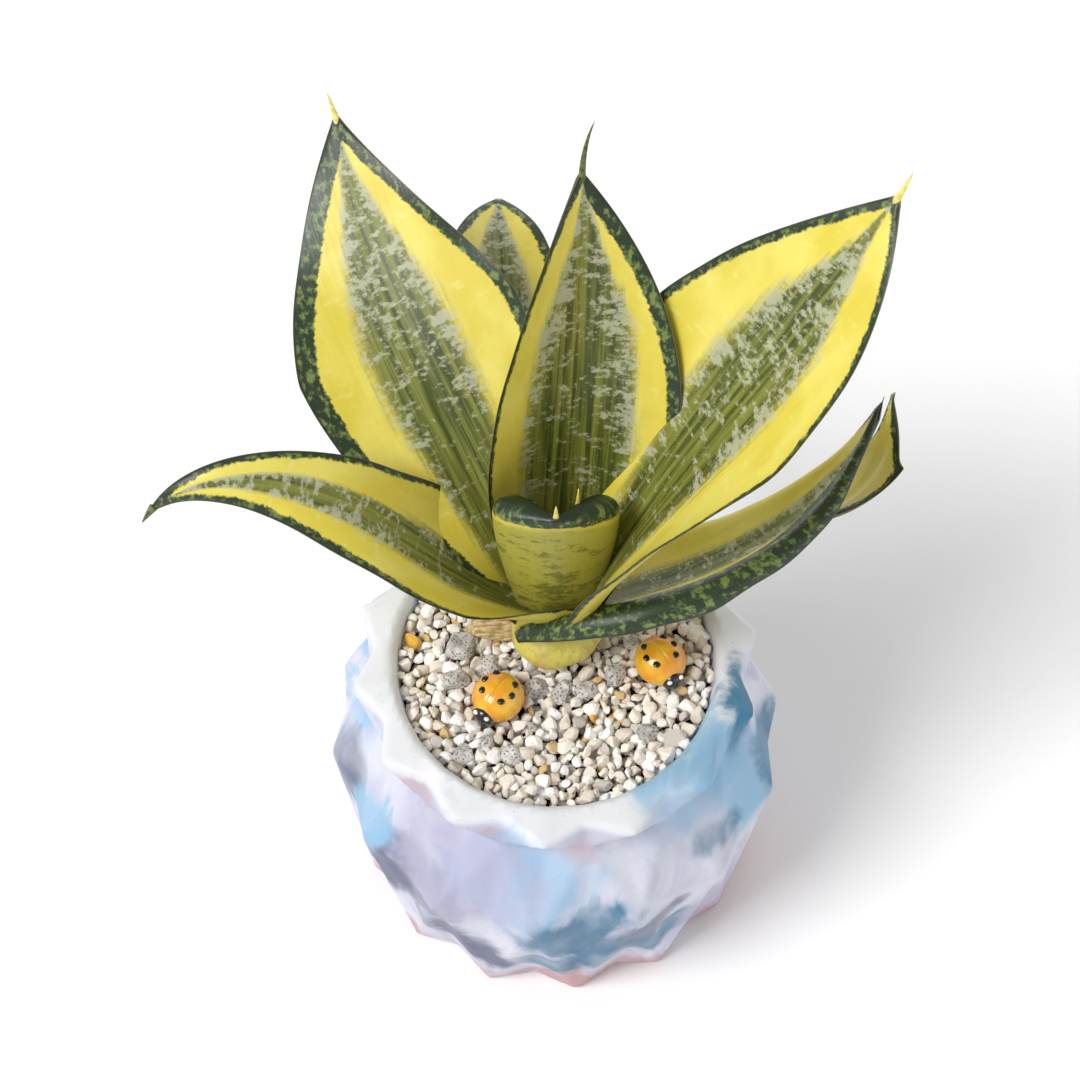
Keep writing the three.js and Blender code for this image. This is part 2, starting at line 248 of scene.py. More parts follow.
def rgb(red, green, blue):
    """An sRGB colour of 0 to 255 as the linear colour that nodes take."""
    def linear(value):
        share = value / 255
        return share / 12.92 if share <= 0.04045 else ((share + 0.055) / 1.055) ** 2.4

    return (linear(red), linear(green), linear(blue), 1.0)


# ---- Mesh helpers -------------------------------------------------------------------------------

def make_piece(name, points, faces, material, smooth=True):
    """A mesh object from points in millimetres, riding on the object's one body."""
    mesh = bpy.data.meshes.new(name)
    mesh.from_pydata((np.asarray(points, float) * MM).tolist(), [], faces)
    mesh.update()
    mesh.polygons.foreach_set("use_smooth", [smooth] * len(mesh.polygons))
    piece = bpy.data.objects.new(name, mesh)
    bpy.context.scene.collection.objects.link(piece)
    mesh.materials.append(material)
    return piece


def settle(piece, slot, *nodes):
    """Puts a piece on the root body and hides the CAD nodes that it stands for. The slot is not used.
    """
    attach(piece, "root")
    if nodes:
        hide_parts(*nodes)
    return piece


def set_attribute(mesh, name, kind, values):
    layer = mesh.attributes.new(name, kind, "POINT")
    field = "vector" if kind == "FLOAT_VECTOR" else "value"
    layer.data.foreach_set(field, np.asarray(values, np.float32).ravel())


def apply_modifiers(piece):
    """Replaces a piece's mesh by the one that its modifiers make."""
    graph = bpy.context.evaluated_depsgraph_get()
    made = bpy.data.meshes.new_from_object(piece.evaluated_get(graph))
    piece.modifiers.clear()
    old = piece.data
    piece.data = made
    bpy.data.meshes.remove(old)
    made.polygons.foreach_set("use_smooth", [True] * len(made.polygons))
    made.update()


def tube_faces(rows, columns):
    """Quads that join each ring of points to the next."""
    faces = []
    for row in range(rows):
        for column in range(columns):
            a, b = row * columns + column, row * columns + (column + 1) % columns
            faces.append((a, b, b + columns, a + columns))
    return faces


def polar(radius, degrees, z):
    angle = math.radians(degrees)
    return (radius * math.cos(angle), radius * math.sin(angle), z)


# ---- Materials ----------------------------------------------------------------------------------

# Pigment colours, with blush and rose used as the tints of painted shade.
PIGMENT_AND_SHADE_TINTS = {
    "sky": rgb(140, 184, 216),
    "teal": rgb(44, 112, 146),
    "slate": rgb(84, 90, 118),
    "rose": rgb(188, 132, 130),
    "lilac": rgb(178, 174, 200),
    "blush": rgb(200, 174, 180),
}
# Clouds of pigment in the cast cement, and blush clouds of painted shade under the lip: colour, middle
# and radius.
CLOUDS = [
    ("blush", (-36, -35, 84), 8), ("blush", (-17, -47, 84), 8), ("blush", (4, -50, 84), 8),
    ("slate", (20, -54, 40), 12), ("teal", (-2, -58, 26), 13), ("teal", (30, -48, 26), 10),
    ("sky", (-12, -58, 72), 24), ("teal", (6, -58, 46), 17), ("teal", (14, -56, 30), 14),
    ("teal", (44, -28, 94), 17), ("sky", (36, -30, 90), 22), ("teal", (49, -12, 90), 12),
    ("sky", (52, -24, 66), 18), ("teal", (44, -40, 66), 11), ("teal", (57, -10, 60), 14),
    ("sky", (-56, -12, 78), 16), ("slate", (-42, -42, 48), 22), ("slate", (-57, -14, 58), 14),
    ("lilac", (-30, -50, 66), 26), ("slate", (-26, -52, 22), 15), ("sky", (-50, -26, 62), 10),
    ("lilac", (44, -36, 22), 18),
]
# Pigment that drifts over the back of the pot: colour, scale of its noise, its shift and its threshold.
DRIFTS = [
    ("lilac", 14, 0.0, 0.50), ("sky", 17, 0.4, 0.53),
    ("slate", 19, 0.9, 0.58), ("teal", 22, 1.3, 0.60),
]


def cement_material():
    """Cast matt cement: white, blurred blue and slate pigment, rose painted shade, painted-light lip
    top.
    """
    n = Nodes("marbled_cement")
    place = n.place()
    swirl = n.new("ShaderNodeTexNoise")
    n.link(place, swirl.inputs["Vector"])
    swirl.inputs["Scale"].default_value = 34
    swirl.inputs["Detail"].default_value = 3
    drift = n.new("ShaderNodeVectorMath", operation="MULTIPLY_ADD")
    n.link(swirl.outputs["Color"], drift.inputs[0])
    drift.inputs[1].default_value = (0.024, 0.024, 0.036)
    n.link(place, drift.inputs[2])
    centred = n.new("ShaderNodeVectorMath", operation="SUBTRACT")
    n.link(drift.outputs[0], centred.inputs[0])
    centred.inputs[1].default_value = (0.012, 0.012, 0.018)
    wisps = n.noise(n.scaled(place, (1, 1, 0.55)), 60, 5, 0.6, 1.4)
    veins = n.noise(n.scaled(place, (1, 1, 0.6), (0.3, 0.1, 0.2)), 45, 3, 0.5, 0.8)
    height = n.parts(place)
    body = n.mix(n.span(wisps, 0.35, 0.7), rgb(214, 215, 227), rgb(190, 192, 211))
    # Painted light: the lip's upward face is painted whiter above about 90 mm.
    colour = n.mix(n.span(height["Z"], 0.090, 0.0935), body, rgb(224, 225, 229))
    back = n.span(height["Y"], -0.022, 0.012)
    for name, scale, shift, level in DRIFTS:
        drifted = n.scaled(centred.outputs[0], (1, 1, 0.65), (shift, shift, shift))
        share = n.span(n.noise(drifted, scale, 4, 0.6, 1.2), level, level + 0.08, 0.0, 0.85)
        colour = n.mix(n.math("MULTIPLY", share, back), colour, PIGMENT_AND_SHADE_TINTS[name])
    # Painted shade: a rose tint darkens the pot towards the bottom, with a ragged edge.
    shade_ripple = n.noise(n.scaled(centred.outputs[0], (1, 1, 0.5), (2, 1, 0)), 30, 4, 0.6, 1.0)
    low = n.math("MULTIPLY_ADD", shade_ripple, 0.11, n.math("SUBTRACT", height["Z"], 0.055))
    colour = n.mix(n.span(low, 0.020, 0.0, 0.0, 0.8), colour, PIGMENT_AND_SHADE_TINTS["rose"])
    # Pigment clouds, plus the blush clouds of painted shade under the lip's overhang.
    for name, middle, radius in CLOUDS:
        away = n.new("ShaderNodeVectorMath", operation="DISTANCE")
        n.link(centred.outputs[0], away.inputs[0])
        away.inputs[1].default_value = [value * MM for value in middle]
        ragged = n.math("MULTIPLY_ADD", wisps, radius * MM * 1.5, away.outputs["Value"])
        share = n.span(ragged, radius * MM * 1.3, radius * MM * 1.85, 0.92, 0.0)
        veined = n.math("MULTIPLY", share, n.span(veins, 0.4, 0.66, 1.0, 0.6))
        colour = n.mix(veined, colour, PIGMENT_AND_SHADE_TINTS[name])
    specks = n.noise(place, 1500, 2, 0.5)
    colour = n.mix(n.span(specks, 0.68, 0.76, 0.0, 0.35), colour, rgb(120, 120, 128))
    pits = n.voronoi(place, 420)
    pores = n.span(pits, 0.05, 0.16)
    grain = n.noise(place, 900, 4, 0.6)
    normal = n.bump(grain, 0.10, 0.0004, n.bump(pores, 0.18, 0.0003))
    roughness = n.span(wisps, 0.3, 0.7, 0.42, 0.58)
    return n.finish(colour, roughness, normal, Specular_IOR_Level=0.4)


def leaf_material(name, leaf, seed):
    """Yellow blade with a streaked and speckled green stripe and mottled dark green margins.

    The mesh gives leaf_place (across, along and distance from the margin, in millimetres) and
    leaf_share (across from -1 to 1, along from 0 to 1, and 1 on the underside).
    """
    n = Nodes(name)
    place = n.parts(n.attribute("leaf_place").outputs["Vector"])
    share = n.parts(n.attribute("leaf_share").outputs["Vector"])
    flat = n.new("ShaderNodeCombineXYZ")
    n.link(place["X"], flat.inputs["X"])
    n.link(place["Y"], flat.inputs["Y"])
    flat.inputs["Z"].default_value = seed * 17.0
    grain = flat.outputs[0]
    across, along, underside = share
    edge = place["Z"]
    off_middle = n.math("ABSOLUTE", across)

    streaks = n.noise(n.scaled(grain, (1.0, 0.03, 1)), 0.75, 4, 0.6)
    fine_streaks = n.noise(n.scaled(grain, (1.0, 0.02, 1)), 2.2, 3, 0.6)
    bands = n.noise(n.scaled(grain, (0.5, 1.0, 1), (3, 8, 0)), 0.34, 5, 0.62, 0.5)
    flecks = n.noise(n.scaled(grain, (0.8, 1.0, 1), (40, 3, 0)), 0.9, 4, 0.65)
    clouds = n.noise(n.scaled(grain, (0.8, 0.5, 1), (90, 5, 0)), 0.12, 3, 0.5)

    yellow = n.mix(n.span(clouds, 0.35, 0.7), rgb(220, 202, 70), rgb(232, 218, 104))
    yellow = n.mix(n.span(bands, 0.56, 0.72, 0.0, 0.4), yellow, rgb(238, 230, 150))
    yellow = n.mix(n.span(along, 0.25, 0.0, 0.0, 0.6), yellow, rgb(186, 172, 62))

    olive = n.mix(n.span(streaks, 0.36, 0.64), rgb(64, 74, 26), rgb(132, 136, 56))
    olive = n.mix(n.span(fine_streaks, 0.52, 0.74, 0.0, 0.55), olive, rgb(48, 60, 26))
    olive = n.mix(n.span(along, 0.3, 0.0, 0.0, 0.6), olive, rgb(138, 134, 58))
    width = n.math("MULTIPLY_ADD", streaks, 0.30, leaf["stripe"] - 0.15)
    width = n.math("MULTIPLY_ADD", bands, 0.16, n.math("SUBTRACT", width, 0.08))
    width = n.math("SUBTRACT", width, n.span(along, 0.72, 1.0, 0.0, 0.3))
    inside = n.math("SUBTRACT", width, off_middle)
    pale = n.math("MULTIPLY_ADD", flecks, 0.7, bands)
    pale = n.math("ADD", pale, n.span(along, 0.1, 0.8, -0.07, 0.05))
    pale = n.math("ADD", pale, n.span(inside, 0.30, 0.0, -0.03, 0.09))
    green = n.mix(n.span(pale, 0.86, 1.02, 0.0, 0.8), olive, rgb(186, 188, 158))
    colour = n.mix(n.span(inside, -0.06, 0.10), yellow, green)

    left, right = leaf["border"]
    border = n.span(across, -0.2, 0.2, right, left)
    border = n.math("MULTIPLY", border, n.span(along, 0.0, leaf["bare"], 0.3, 1.0))
    ragged = n.math("MULTIPLY_ADD", flecks, 1.6, n.math("MULTIPLY", bands, 1.8))
    beyond = n.math("SUBTRACT", n.math("ADD", border, ragged), n.math("ADD", edge, 1.7))
    patches = n.noise(n.scaled(grain, (1.0, 0.8, 1), (7, 70, 0)), 0.6, 4, 0.62)
    dark = n.mix(n.span(patches, 0.48, 0.64), rgb(36, 54, 30), rgb(116, 134, 70))
    dark = n.mix(n.span(edge, 0.2, 1.0), rgb(32, 44, 28), dark)
    colour = n.mix(n.span(beyond, -0.3, 0.3), colour, dark)
    colour = n.mix(n.span(edge, 0.16, 0.04, 0.0, 0.5), colour, rgb(150, 140, 90))
    colour = n.mix(n.span(along, 0.985, 1.0), colour, rgb(222, 206, 120))
    mottle = n.mix(n.span(pale, 0.74, 0.96), rgb(112, 116, 42), rgb(170, 164, 70))
    mottle = n.mix(n.span(edge, 3.2, 5.0, 0.9, 0.0), mottle, rgb(202, 186, 74))
    outside = n.mix(n.span(beyond, -0.3, 0.3), mottle, dark)
    colour = n.mix(n.math("MULTIPLY", underside, leaf["backing"]), colour, outside)

    ridges = n.math("MULTIPLY_ADD", fine_streaks, 0.6, streaks)
    pores = n.noise(grain, 5.0, 2, 0.5)
    normal = n.bump(ridges, 0.16, 0.0006, n.bump(pores, 0.06, 0.0003))
    roughness = n.span(streaks, 0.3, 0.7, 0.36, 0.5)
    return n.finish(
        colour, roughness, normal, Specular_IOR_Level=0.45, Coat_Weight=0.12, Coat_Roughness=0.35,
    )


def thorn_material(name, low, high):
    """Leathery point of a leaf with fine lengthwise grain."""
    n = Nodes(name)
    grain = n.noise(n.place(), 1200, 3, 0.6)
    colour = n.mix(n.span(grain, 0.35, 0.65), low, high)
    return n.finish(colour, 0.45, n.bump(grain, 0.2, 0.0003))


def gravel_material():
    """Washed chips, each in its own tone: mostly white and cream, a few grey, tan or amber."""
    n = Nodes("gravel_chips")
    place = n.place()
    tone = n.attribute("tone").outputs["Fac"]
    ramp = n.new("ShaderNodeValToRGB")
    ramp.color_ramp.interpolation = "CONSTANT"
    steps = [
        (0.0, rgb(250, 246, 240)), (0.24, rgb(244, 236, 224)), (0.44, rgb(236, 226, 210)),
        (0.60, rgb(250, 248, 246)), (0.80, rgb(226, 214, 198)), (0.90, rgb(204, 196, 188)),
        (0.955, rgb(216, 184, 128)), (0.985, rgb(228, 176, 72)),
    ]
    elements = ramp.color_ramp.elements
    for spot, tint in steps[2:]:
        elements.new(spot).color = tint
    for element, (spot, tint) in zip(elements, steps):
        element.position = spot
        element.color = tint
    n.link(tone, ramp.inputs["Fac"])
    blotch = n.noise(place, 700, 4, 0.6)
    colour = n.mix(n.span(blotch, 0.5, 0.8, 0.0, 0.4), ramp.outputs["Color"], rgb(196, 176, 150))
    grains = n.noise(place, 2600, 3, 0.6)
    colour = n.mix(n.span(grains, 0.62, 0.7, 0.0, 0.4), colour, rgb(150, 136, 116))
    normal = n.bump(grains, 0.35, 0.0003, n.bump(blotch, 0.3, 0.0006))
    return n.finish(colour, 0.78, normal, Specular_IOR_Level=0.35)


def pumice_material():
    """Porous grey stone with paler patches and painted shade darkening its pits."""
    n = Nodes("porous_stone")
    place = n.place()
    patch = n.noise(place, 260, 4, 0.6)
    colour = n.mix(n.span(patch, 0.35, 0.65), rgb(176, 172, 168), rgb(222, 218, 214))
    pits = n.voronoi(place, 1300)
    hole = n.span(pits, 0.16, 0.34)
    # Painted shade in the pits.
    colour = n.mix(hole, rgb(120, 112, 108), colour)
    specks = n.noise(place, 3000, 2, 0.5)
    colour = n.mix(n.span(specks, 0.62, 0.7, 0.0, 0.6), colour, rgb(84, 80, 84))
    normal = n.bump(hole, 0.8, 0.0005, n.bump(specks, 0.4, 0.0003))
    return n.finish(colour, 0.92, normal, Specular_IOR_Level=0.2)


def crown_material():
    """Pale yellow stem base with faint lengthwise fibres, greener towards the leaves."""
    n = Nodes("crown_flesh")
    place = n.place()
    height = n.parts(place)
    fibres = n.noise(n.scaled(place, (1, 1, 0.12)), 900, 4, 0.6)
    low = n.span(height["Z"], 0.088, 0.100)
    colour = n.mix(low, rgb(196, 176, 96), rgb(206, 194, 88))
    colour = n.mix(n.span(fibres, 0.45, 0.7, 0.0, 0.5), colour, rgb(158, 146, 62))
    blush = n.noise(place, 160, 3, 0.5)
    colour = n.mix(n.span(blush, 0.5, 0.7, 0.0, 0.45), colour, rgb(176, 136, 92))
    normal = n.bump(fibres, 0.2, 0.0004)
    return n.finish(colour, 0.42, normal, Specular_IOR_Level=0.45)


def husk_material():
    """Dry leaf scale: tan paper with brown veins."""
    n = Nodes("dry_husk")
    place = n.place()
    veins = n.noise(n.scaled(place, (0.25, 1, 1)), 1500, 4, 0.65)
    colour = n.mix(n.span(veins, 0.35, 0.65), rgb(228, 208, 160), rgb(168, 128, 84))
    moss = n.noise(place, 420, 2, 0.5)
    colour = n.mix(n.span(moss, 0.55, 0.7, 0.0, 0.6), colour, rgb(150, 140, 70))
    normal = n.bump(veins, 0.6, 0.0005)
    return n.finish(colour, 0.8, normal)


def soil_material():
    """Dark peat with fibres and a few pale grains."""
    n = Nodes("peat_soil")
    place = n.place()
    crumbs = n.noise(place, 800, 5, 0.7)
    colour = n.mix(n.span(crumbs, 0.35, 0.65), rgb(34, 24, 18), rgb(82, 60, 42))
    grains = n.voronoi(place, 600)
    colour = n.mix(n.span(grains, 0.12, 0.08, 0.0, 0.8), colour, rgb(170, 156, 132))
    normal = n.bump(crumbs, 0.8, 0.0012)
    return n.finish(colour, 0.95, normal)


def resin_material(name, low, high):
    """Glossy tinted resin with a slight drift of tone."""
    n = Nodes(name)
    drift = n.noise(n.place(), 220, 2, 0.5)
    colour = n.mix(n.span(drift, 0.35, 0.65), low, high)
    ripple = n.noise(n.place(), 500, 2, 0.5)
    normal = n.bump(ripple, 0.06, 0.0004)
    return n.finish(colour, 0.28, normal, Coat_Weight=0.6, Coat_Roughness=0.12)


def floor_material():
    """Plain pale studio floor."""
    n = Nodes("studio_floor")
    faint = n.noise(n.place(), 3, 2, 0.5)
    colour = n.mix(faint, rgb(246, 246, 247), rgb(250, 250, 250))
    return n.finish(colour, 0.9, Specular_IOR_Level=0.1)


# ---- Pot ----------------------------------------------------------------------------------------

def pot_ring(point_at):
    """A ring of points, even ones in line with the lip's points and odd ones with its dips."""
    return [point_at(index * 180 / LOBES, index % 2 == 0) for index in range(2 * LOBES)]


def round_ring(radius, z):
    return pot_ring(lambda angle, even: polar(radius, RINGS["tip"]["turn"] + angle, z))


def facet_ring(ring, corners_are_even):
    """Corners that alternate with the middles of the straight edges joining them."""
    middle = ring["radius"] * math.cos(math.pi / LOBES) - HOLLOW
    z = POT_HEIGHT - ring["drop"]

    def point(angle, even):
        radius = ring["radius"] if even == corners_are_even else middle
        return polar(radius, ring["turn"] + angle, z)

    return pot_ring(point)


def lip_ring():
    tip, notch = RINGS["tip"], RINGS["notch"]

    def point(angle, even):
        corner = tip if even else notch
        return polar(corner["radius"], tip["turn"] + angle, POT_HEIGHT - corner["drop"])

    return pot_ring(point)


def foot_ring():
    foot, notch = RINGS["foot"], RINGS["foot_notch"]

    def point(angle, even):
        radius = notch["radius"] if even else foot["radius"]
        return polar(radius, foot["turn"] + angle, notch["lift"] if even else 0)

    return pot_ring(point)


def pole_loft(bottom, rings, top, even_rows):
    """Points and triangles joining rings from a bottom pole to a top pole, as the CAD part does."""
    count = len(rings[0])
    points = [bottom] + [point for ring in rings for point in ring] + [top]
    faces = []

    def at(row, column):
        return 1 + row * count + column % count

    last = len(rings) - 1
    for column in range(count):
        faces.append((0, at(0, column + 1), at(0, column)))
        for row in range(last):
            a, b = at(row, column), at(row, column + 1)
            c, d = at(row + 1, column), at(row + 1, column + 1)
            if (column % 2 == 0) == (row in even_rows):
                faces += [(a, b, d), (a, d, c)]
            else:
                faces += [(a, b, c), (b, d, c)]
        faces.append((at(last, column), at(last, column + 1), len(points) - 1))
    return points, faces


def build_pot():
    """The faceted pot, remeshed finely and smoothed a little so that its cast edges aren't sharp."""
    rings = [
        round_ring(RINGS["foot_notch"]["radius"] - FOOT_INSET, 0),
        foot_ring(),
        facet_ring(RINGS["belly"], True),
        facet_ring(RINGS["collar"], False),
        lip_ring(),
        round_ring(MOUTH + LIP_EDGE, POT_HEIGHT),
        round_ring(MOUTH, POT_HEIGHT - LIP_EDGE),
        round_ring(MOUTH - 1, GRAVEL_TOP),
        round_ring(FLOOR_RADIUS, FLOOR),
    ]
    points, faces = pole_loft((0, 0, 0), rings, (0, 0, FLOOR), [2])
    pot = make_piece("pot_cast", points, faces, cement_material())
    remesh = pot.modifiers.new("fine", "REMESH")
    remesh.mode = "VOXEL"
    remesh.voxel_size = VOXEL * MM
    soften = pot.modifiers.new("soft", "SMOOTH")
    soften.factor = 0.5
    soften.iterations = 2
    apply_modifiers(pot)
    return settle(pot, "cement", "pot")


# ---- Leaves -------------------------------------------------------------------------------------

def smoothstep(value, low, high):
    share = np.clip((value - low) / (high - low), 0, 1)
    return share * share * (3 - 2 * share)


def along_leaf(values, t):
    """A value given at the base, middle and tip, as a smooth curve along the leaf."""
    base, middle, tip = values
    return base * (1 - t) * (1 - 2 * t) + middle * 4 * t * (1 - t) + tip * t * (2 * t - 1)


def leaf_width(leaf, t):
    """Half-width along the leaf as a share of its widest half-width."""
    widest = leaf["widest"]
    rising = leaf["neck"] + (1 - leaf["neck"]) * np.sin(np.pi / 2 * np.clip(t / widest, 0, 1))
    falling = 1 - np.clip((t - widest) / (1 - widest), 0, 1) ** leaf["point"]
    return np.where(t < widest, rising, falling)


def turned(vectors, axes, angles):
    """Vectors turned about unit axes, one angle each, by Rodrigues' formula."""
    cosine, sine = np.cos(angles)[:, None], np.sin(angles)[:, None]
    along = np.sum(vectors * axes, 1)[:, None]
    return vectors * cosine + np.cross(axes, vectors) * sine + axes * along * (1 - cosine)


def leaf_spine(leaf, t):
    """Midrib points and the directions along, across and out of the upper face at each."""
    rise = np.radians(along_leaf(leaf["rise"], t))
    aim = np.radians(leaf["aim"] + leaf["sway"] * t * t)
    along = np.stack([np.cos(rise) * np.cos(aim), np.cos(rise) * np.sin(aim), np.sin(rise)], 1)
    steps = (along[1:] + along[:-1]) / 2 * (np.diff(t) * leaf["length"])[:, None]
    points = np.vstack([np.zeros(3), np.cumsum(steps, 0)]) + np.array(leaf["root"], float)
    level = np.stack([-np.sin(aim), np.cos(aim), 0 * aim], 1)
    roll = leaf["roll"][0] + (leaf["roll"][1] - leaf["roll"][0]) * t + leaf["twist"] * t ** 6
    across = turned(level, along, np.radians(roll))
    return points, along, across, np.cross(along, across)


def section(leaf, t, fractions):
    """Across, up and slope of the leaf's section at signed fractions of its half-width."""
    cup = np.radians(leaf["cup"][0] + (leaf["cup"][1] - leaf["cup"][0]) * t)[:, None]
    size = np.abs(fractions)[None, :]
    flare = math.radians(leaf["flare"])
    across = np.zeros((len(t), len(fractions)))
    up = np.zeros_like(across)
    steps = 12  # of the sum that stands for the section's curve
    for step in range(steps):
        place = (step + 0.5) / steps * size
        slope = cup * place - flare * smoothstep(place, 0.5, 1)
        across += np.cos(slope) * size / steps
        up += np.sin(slope) * size / steps
    slope = (cup * size - flare * smoothstep(size, 0.5, 1)) * np.sign(fractions)[None, :]
    return across * np.sign(fractions)[None, :], up, slope


def leaf_surface(leaf, seed):
    """Upper and lower surface points of a leaf and the values that its material reads."""
    t = np.linspace(0, 1, BLADE["rows"] + 1) ** 0.9
    fractions = np.sin(np.linspace(-1, 1, BLADE["columns"] + 1) * np.pi / 2)
    place, _, side, face = leaf_spine(leaf, t)
    half = np.maximum(leaf["half"] * leaf_width(leaf, t), 0.5)[:, None]
    across, up, slope = section(leaf, t, fractions)
    phase = seed * 1.7
    swing = np.sin(t * 21 + phase) * 0.6 + np.sin(t * 37 + 2 * phase) * 0.4
    swing = swing[:, None] * np.sin(np.pi * t)[:, None]
    lift = leaf["wave"] * swing * np.abs(fractions)[None, :] ** 3 * np.sign(fractions + 0.01)[None, :]
    centre = place[:, None] + side[:, None] * (half * across)[..., None]
    centre = centre + face[:, None] * (half * up + lift)[..., None]
    out = face[:, None] * np.cos(slope)[..., None] - side[:, None] * np.sin(slope)[..., None]
    full = BLADE["middle"] + (BLADE["margin"] - BLADE["middle"]) * fractions[None, :] ** 2
    thick = np.minimum(full * np.sqrt(np.clip(1 - fractions[None, :] ** 8, 0.02, 1)), half) / 2
    groove = 0.35 * np.exp(-((fractions[None, :] * half / 1.6) ** 2))
    upper = centre + out * (thick - groove)[..., None]
    lower = centre - out * thick[..., None]
    mm_across = fractions[None, :] * half
    mm_along = np.broadcast_to((t * leaf["length"])[:, None], mm_across.shape)
    lateral = (1 - np.abs(fractions))[None, :] * half
    inner = np.abs(mm_across) / leaf["half"]
    reach = leaf["widest"] + (1 - leaf["widest"]) * np.clip(1 - inner, 0, 1) ** (1 / leaf["point"])
    ahead = np.clip(reach - t[:, None], 0, 1) * leaf["length"]
    mm_edge = lateral * ahead / np.sqrt(lateral ** 2 + ahead ** 2 + 1e-6)
    shares = np.stack(np.broadcast_arrays(fractions[None, :], t[:, None], 0 * mm_edge), -1)
    values = np.stack([mm_across, mm_along, mm_edge], -1)
    return upper, lower, values, shares


def grid_faces(rows, columns, start, flip):
    """Quads of a grid of points, numbered from start."""
    faces = []
    for row in range(rows):
        for column in range(columns):
            a = start + row * (columns + 1) + column
            quad = (a, a + 1, a + columns + 2, a + columns + 1)
            faces.append(quad[::-1] if flip else quad)
    return faces


def rim_faces(rows, columns, offset):
    """Quads that close the gap between an upper and a lower grid all the way round."""
    width = columns + 1
    border = list(range(width))
    border += [row * width + columns for row in range(1, rows + 1)]
    border += [rows * width + column for column in range(columns - 1, -1, -1)]
    border += [row * width for row in range(rows - 1, 0, -1)]
    faces = []
    for index, first in enumerate(border):
        second = border[(index + 1) % len(border)]
        faces.append((second, first, first + offset, second + offset))
    return faces


def build_leaf(name, leaf, seed, material, slot, node):
    """A closed blade whose points tell its material how far across and along they lie."""
    upper, lower, values, shares = leaf_surface(leaf, seed)
    rows, columns = BLADE["rows"], BLADE["columns"]
    count = (rows + 1) * (columns + 1)
    points = np.vstack([upper.reshape(-1, 3), lower.reshape(-1, 3)])
    faces = grid_faces(rows, columns, 0, False) + grid_faces(rows, columns, count, True)
    faces += rim_faces(rows, columns, count)
    piece = make_piece(name, points, faces, material)
    under = shares.copy()
    under[..., 2] = 1
    both = np.vstack([shares.reshape(-1, 3), under.reshape(-1, 3)])
    set_attribute(piece.data, "leaf_share", "FLOAT_VECTOR", both)
    set_attribute(piece.data, "leaf_place", "FLOAT_VECTOR", np.vstack([values.reshape(-1, 3)] * 2))
    if leaf["spine"]:
        build_thorn(name.replace("blade", "thorn"), leaf)
    return settle(piece, slot, node)


def build_thorn(name, leaf):
    """The thin soft point that carries on from a leaf's tip and hooks upwards."""
    place, along, _, face = leaf_spine(leaf, np.linspace(0, 1, BLADE["rows"] + 1))
    buried = 3.5  # length inside the blade
    point, heading, up = place[-1] - along[-1] * buried, along[-1], face[-1]
    step = (leaf["spine"] + buried) / THORN_ROWS
    side = np.cross(heading, up)
    columns = 12
    points = []
    for row in range(THORN_ROWS + 1):
        share = row / THORN_ROWS
        if row:
            bend = math.radians(leaf["hook"]) * share
            point = point + (heading * math.cos(bend) + up * math.sin(bend)) * step
        radius = 0.95 * (1 - share) ** 0.8 + 0.08
        for column in range(columns):
            angle = 2 * math.pi * column / columns
            points.append(point + (side * math.cos(angle) + up * 0.6 * math.sin(angle)) * radius)
    last = THORN_ROWS * columns
    faces = tube_faces(THORN_ROWS, columns)
    faces += [tuple(range(columns))[::-1], tuple(range(last, last + columns))]
    thorn = make_piece(name, points, faces, THORN_SKINS[leaf["thorn"]])
    settle(thorn, "leaf")


def build_leaves():
    for seed, (name, leaf) in enumerate(LEAVES.items(), 1):
        material = leaf_material(name + "_skin", leaf, seed)
        build_leaf(name + "_blade", leaf, seed, material, "leaf", name)
    fold = leaf_material("leaf_low_right_fold_skin", FOLD, 10)
    build_leaf("leaf_low_right_fold", FOLD, 10, fold, "leaf", "leaf_low_right")
    build_leaf("husk_scale", HUSK, 9, husk_material(), "husk", "husk")


# ---- Crown and spear ----------------------------------------------------------------------------

def build_crown():
    """The stem base: a turned form with shallow lengthwise folds."""
    sides = 72
    profile = smooth_profile(CROWN_PROFILE, 5)
    points = []
    for radius, z in profile:
        for column in range(sides):
            angle = 2 * math.pi * column / sides
            fold = 1 + 0.035 * math.sin(3 * angle + 0.08 * z) + 0.02 * math.sin(7 * angle + 1.3)
            x = CROWN_CENTRE[0] + radius * fold * math.cos(angle)
            y = CROWN_CENTRE[1] + radius * fold * math.sin(angle)
            points.append((x, y, z))
    faces = tube_faces(len(profile) - 1, sides)
    crown = make_piece("crown_flesh", points, faces, crown_material())
    return settle(crown, "crown", "crown")


def smooth_profile(corners, steps):
    """A Catmull-Rom curve through a profile's corners."""
    ends = [corners[0]] + list(corners) + [corners[-1]]
    curve = []
    for index in range(1, len(ends) - 2):
        p0, p1, p2, p3 = (np.array(ends[index + k], float) for k in (-1, 0, 1, 2))
        for step in range(steps):
            t = step / steps
            point = 0.5 * (2 * p1 + (p2 - p0) * t + (2 * p0 - 5 * p1 + 4 * p2 - p3) * t * t
                           + (3 * p1 - p0 - 3 * p2 + p3) * t ** 3)
            curve.append((max(point[0], 0.02), point[1]))
    curve.append((0.02, corners[-1][1]))
    return curve


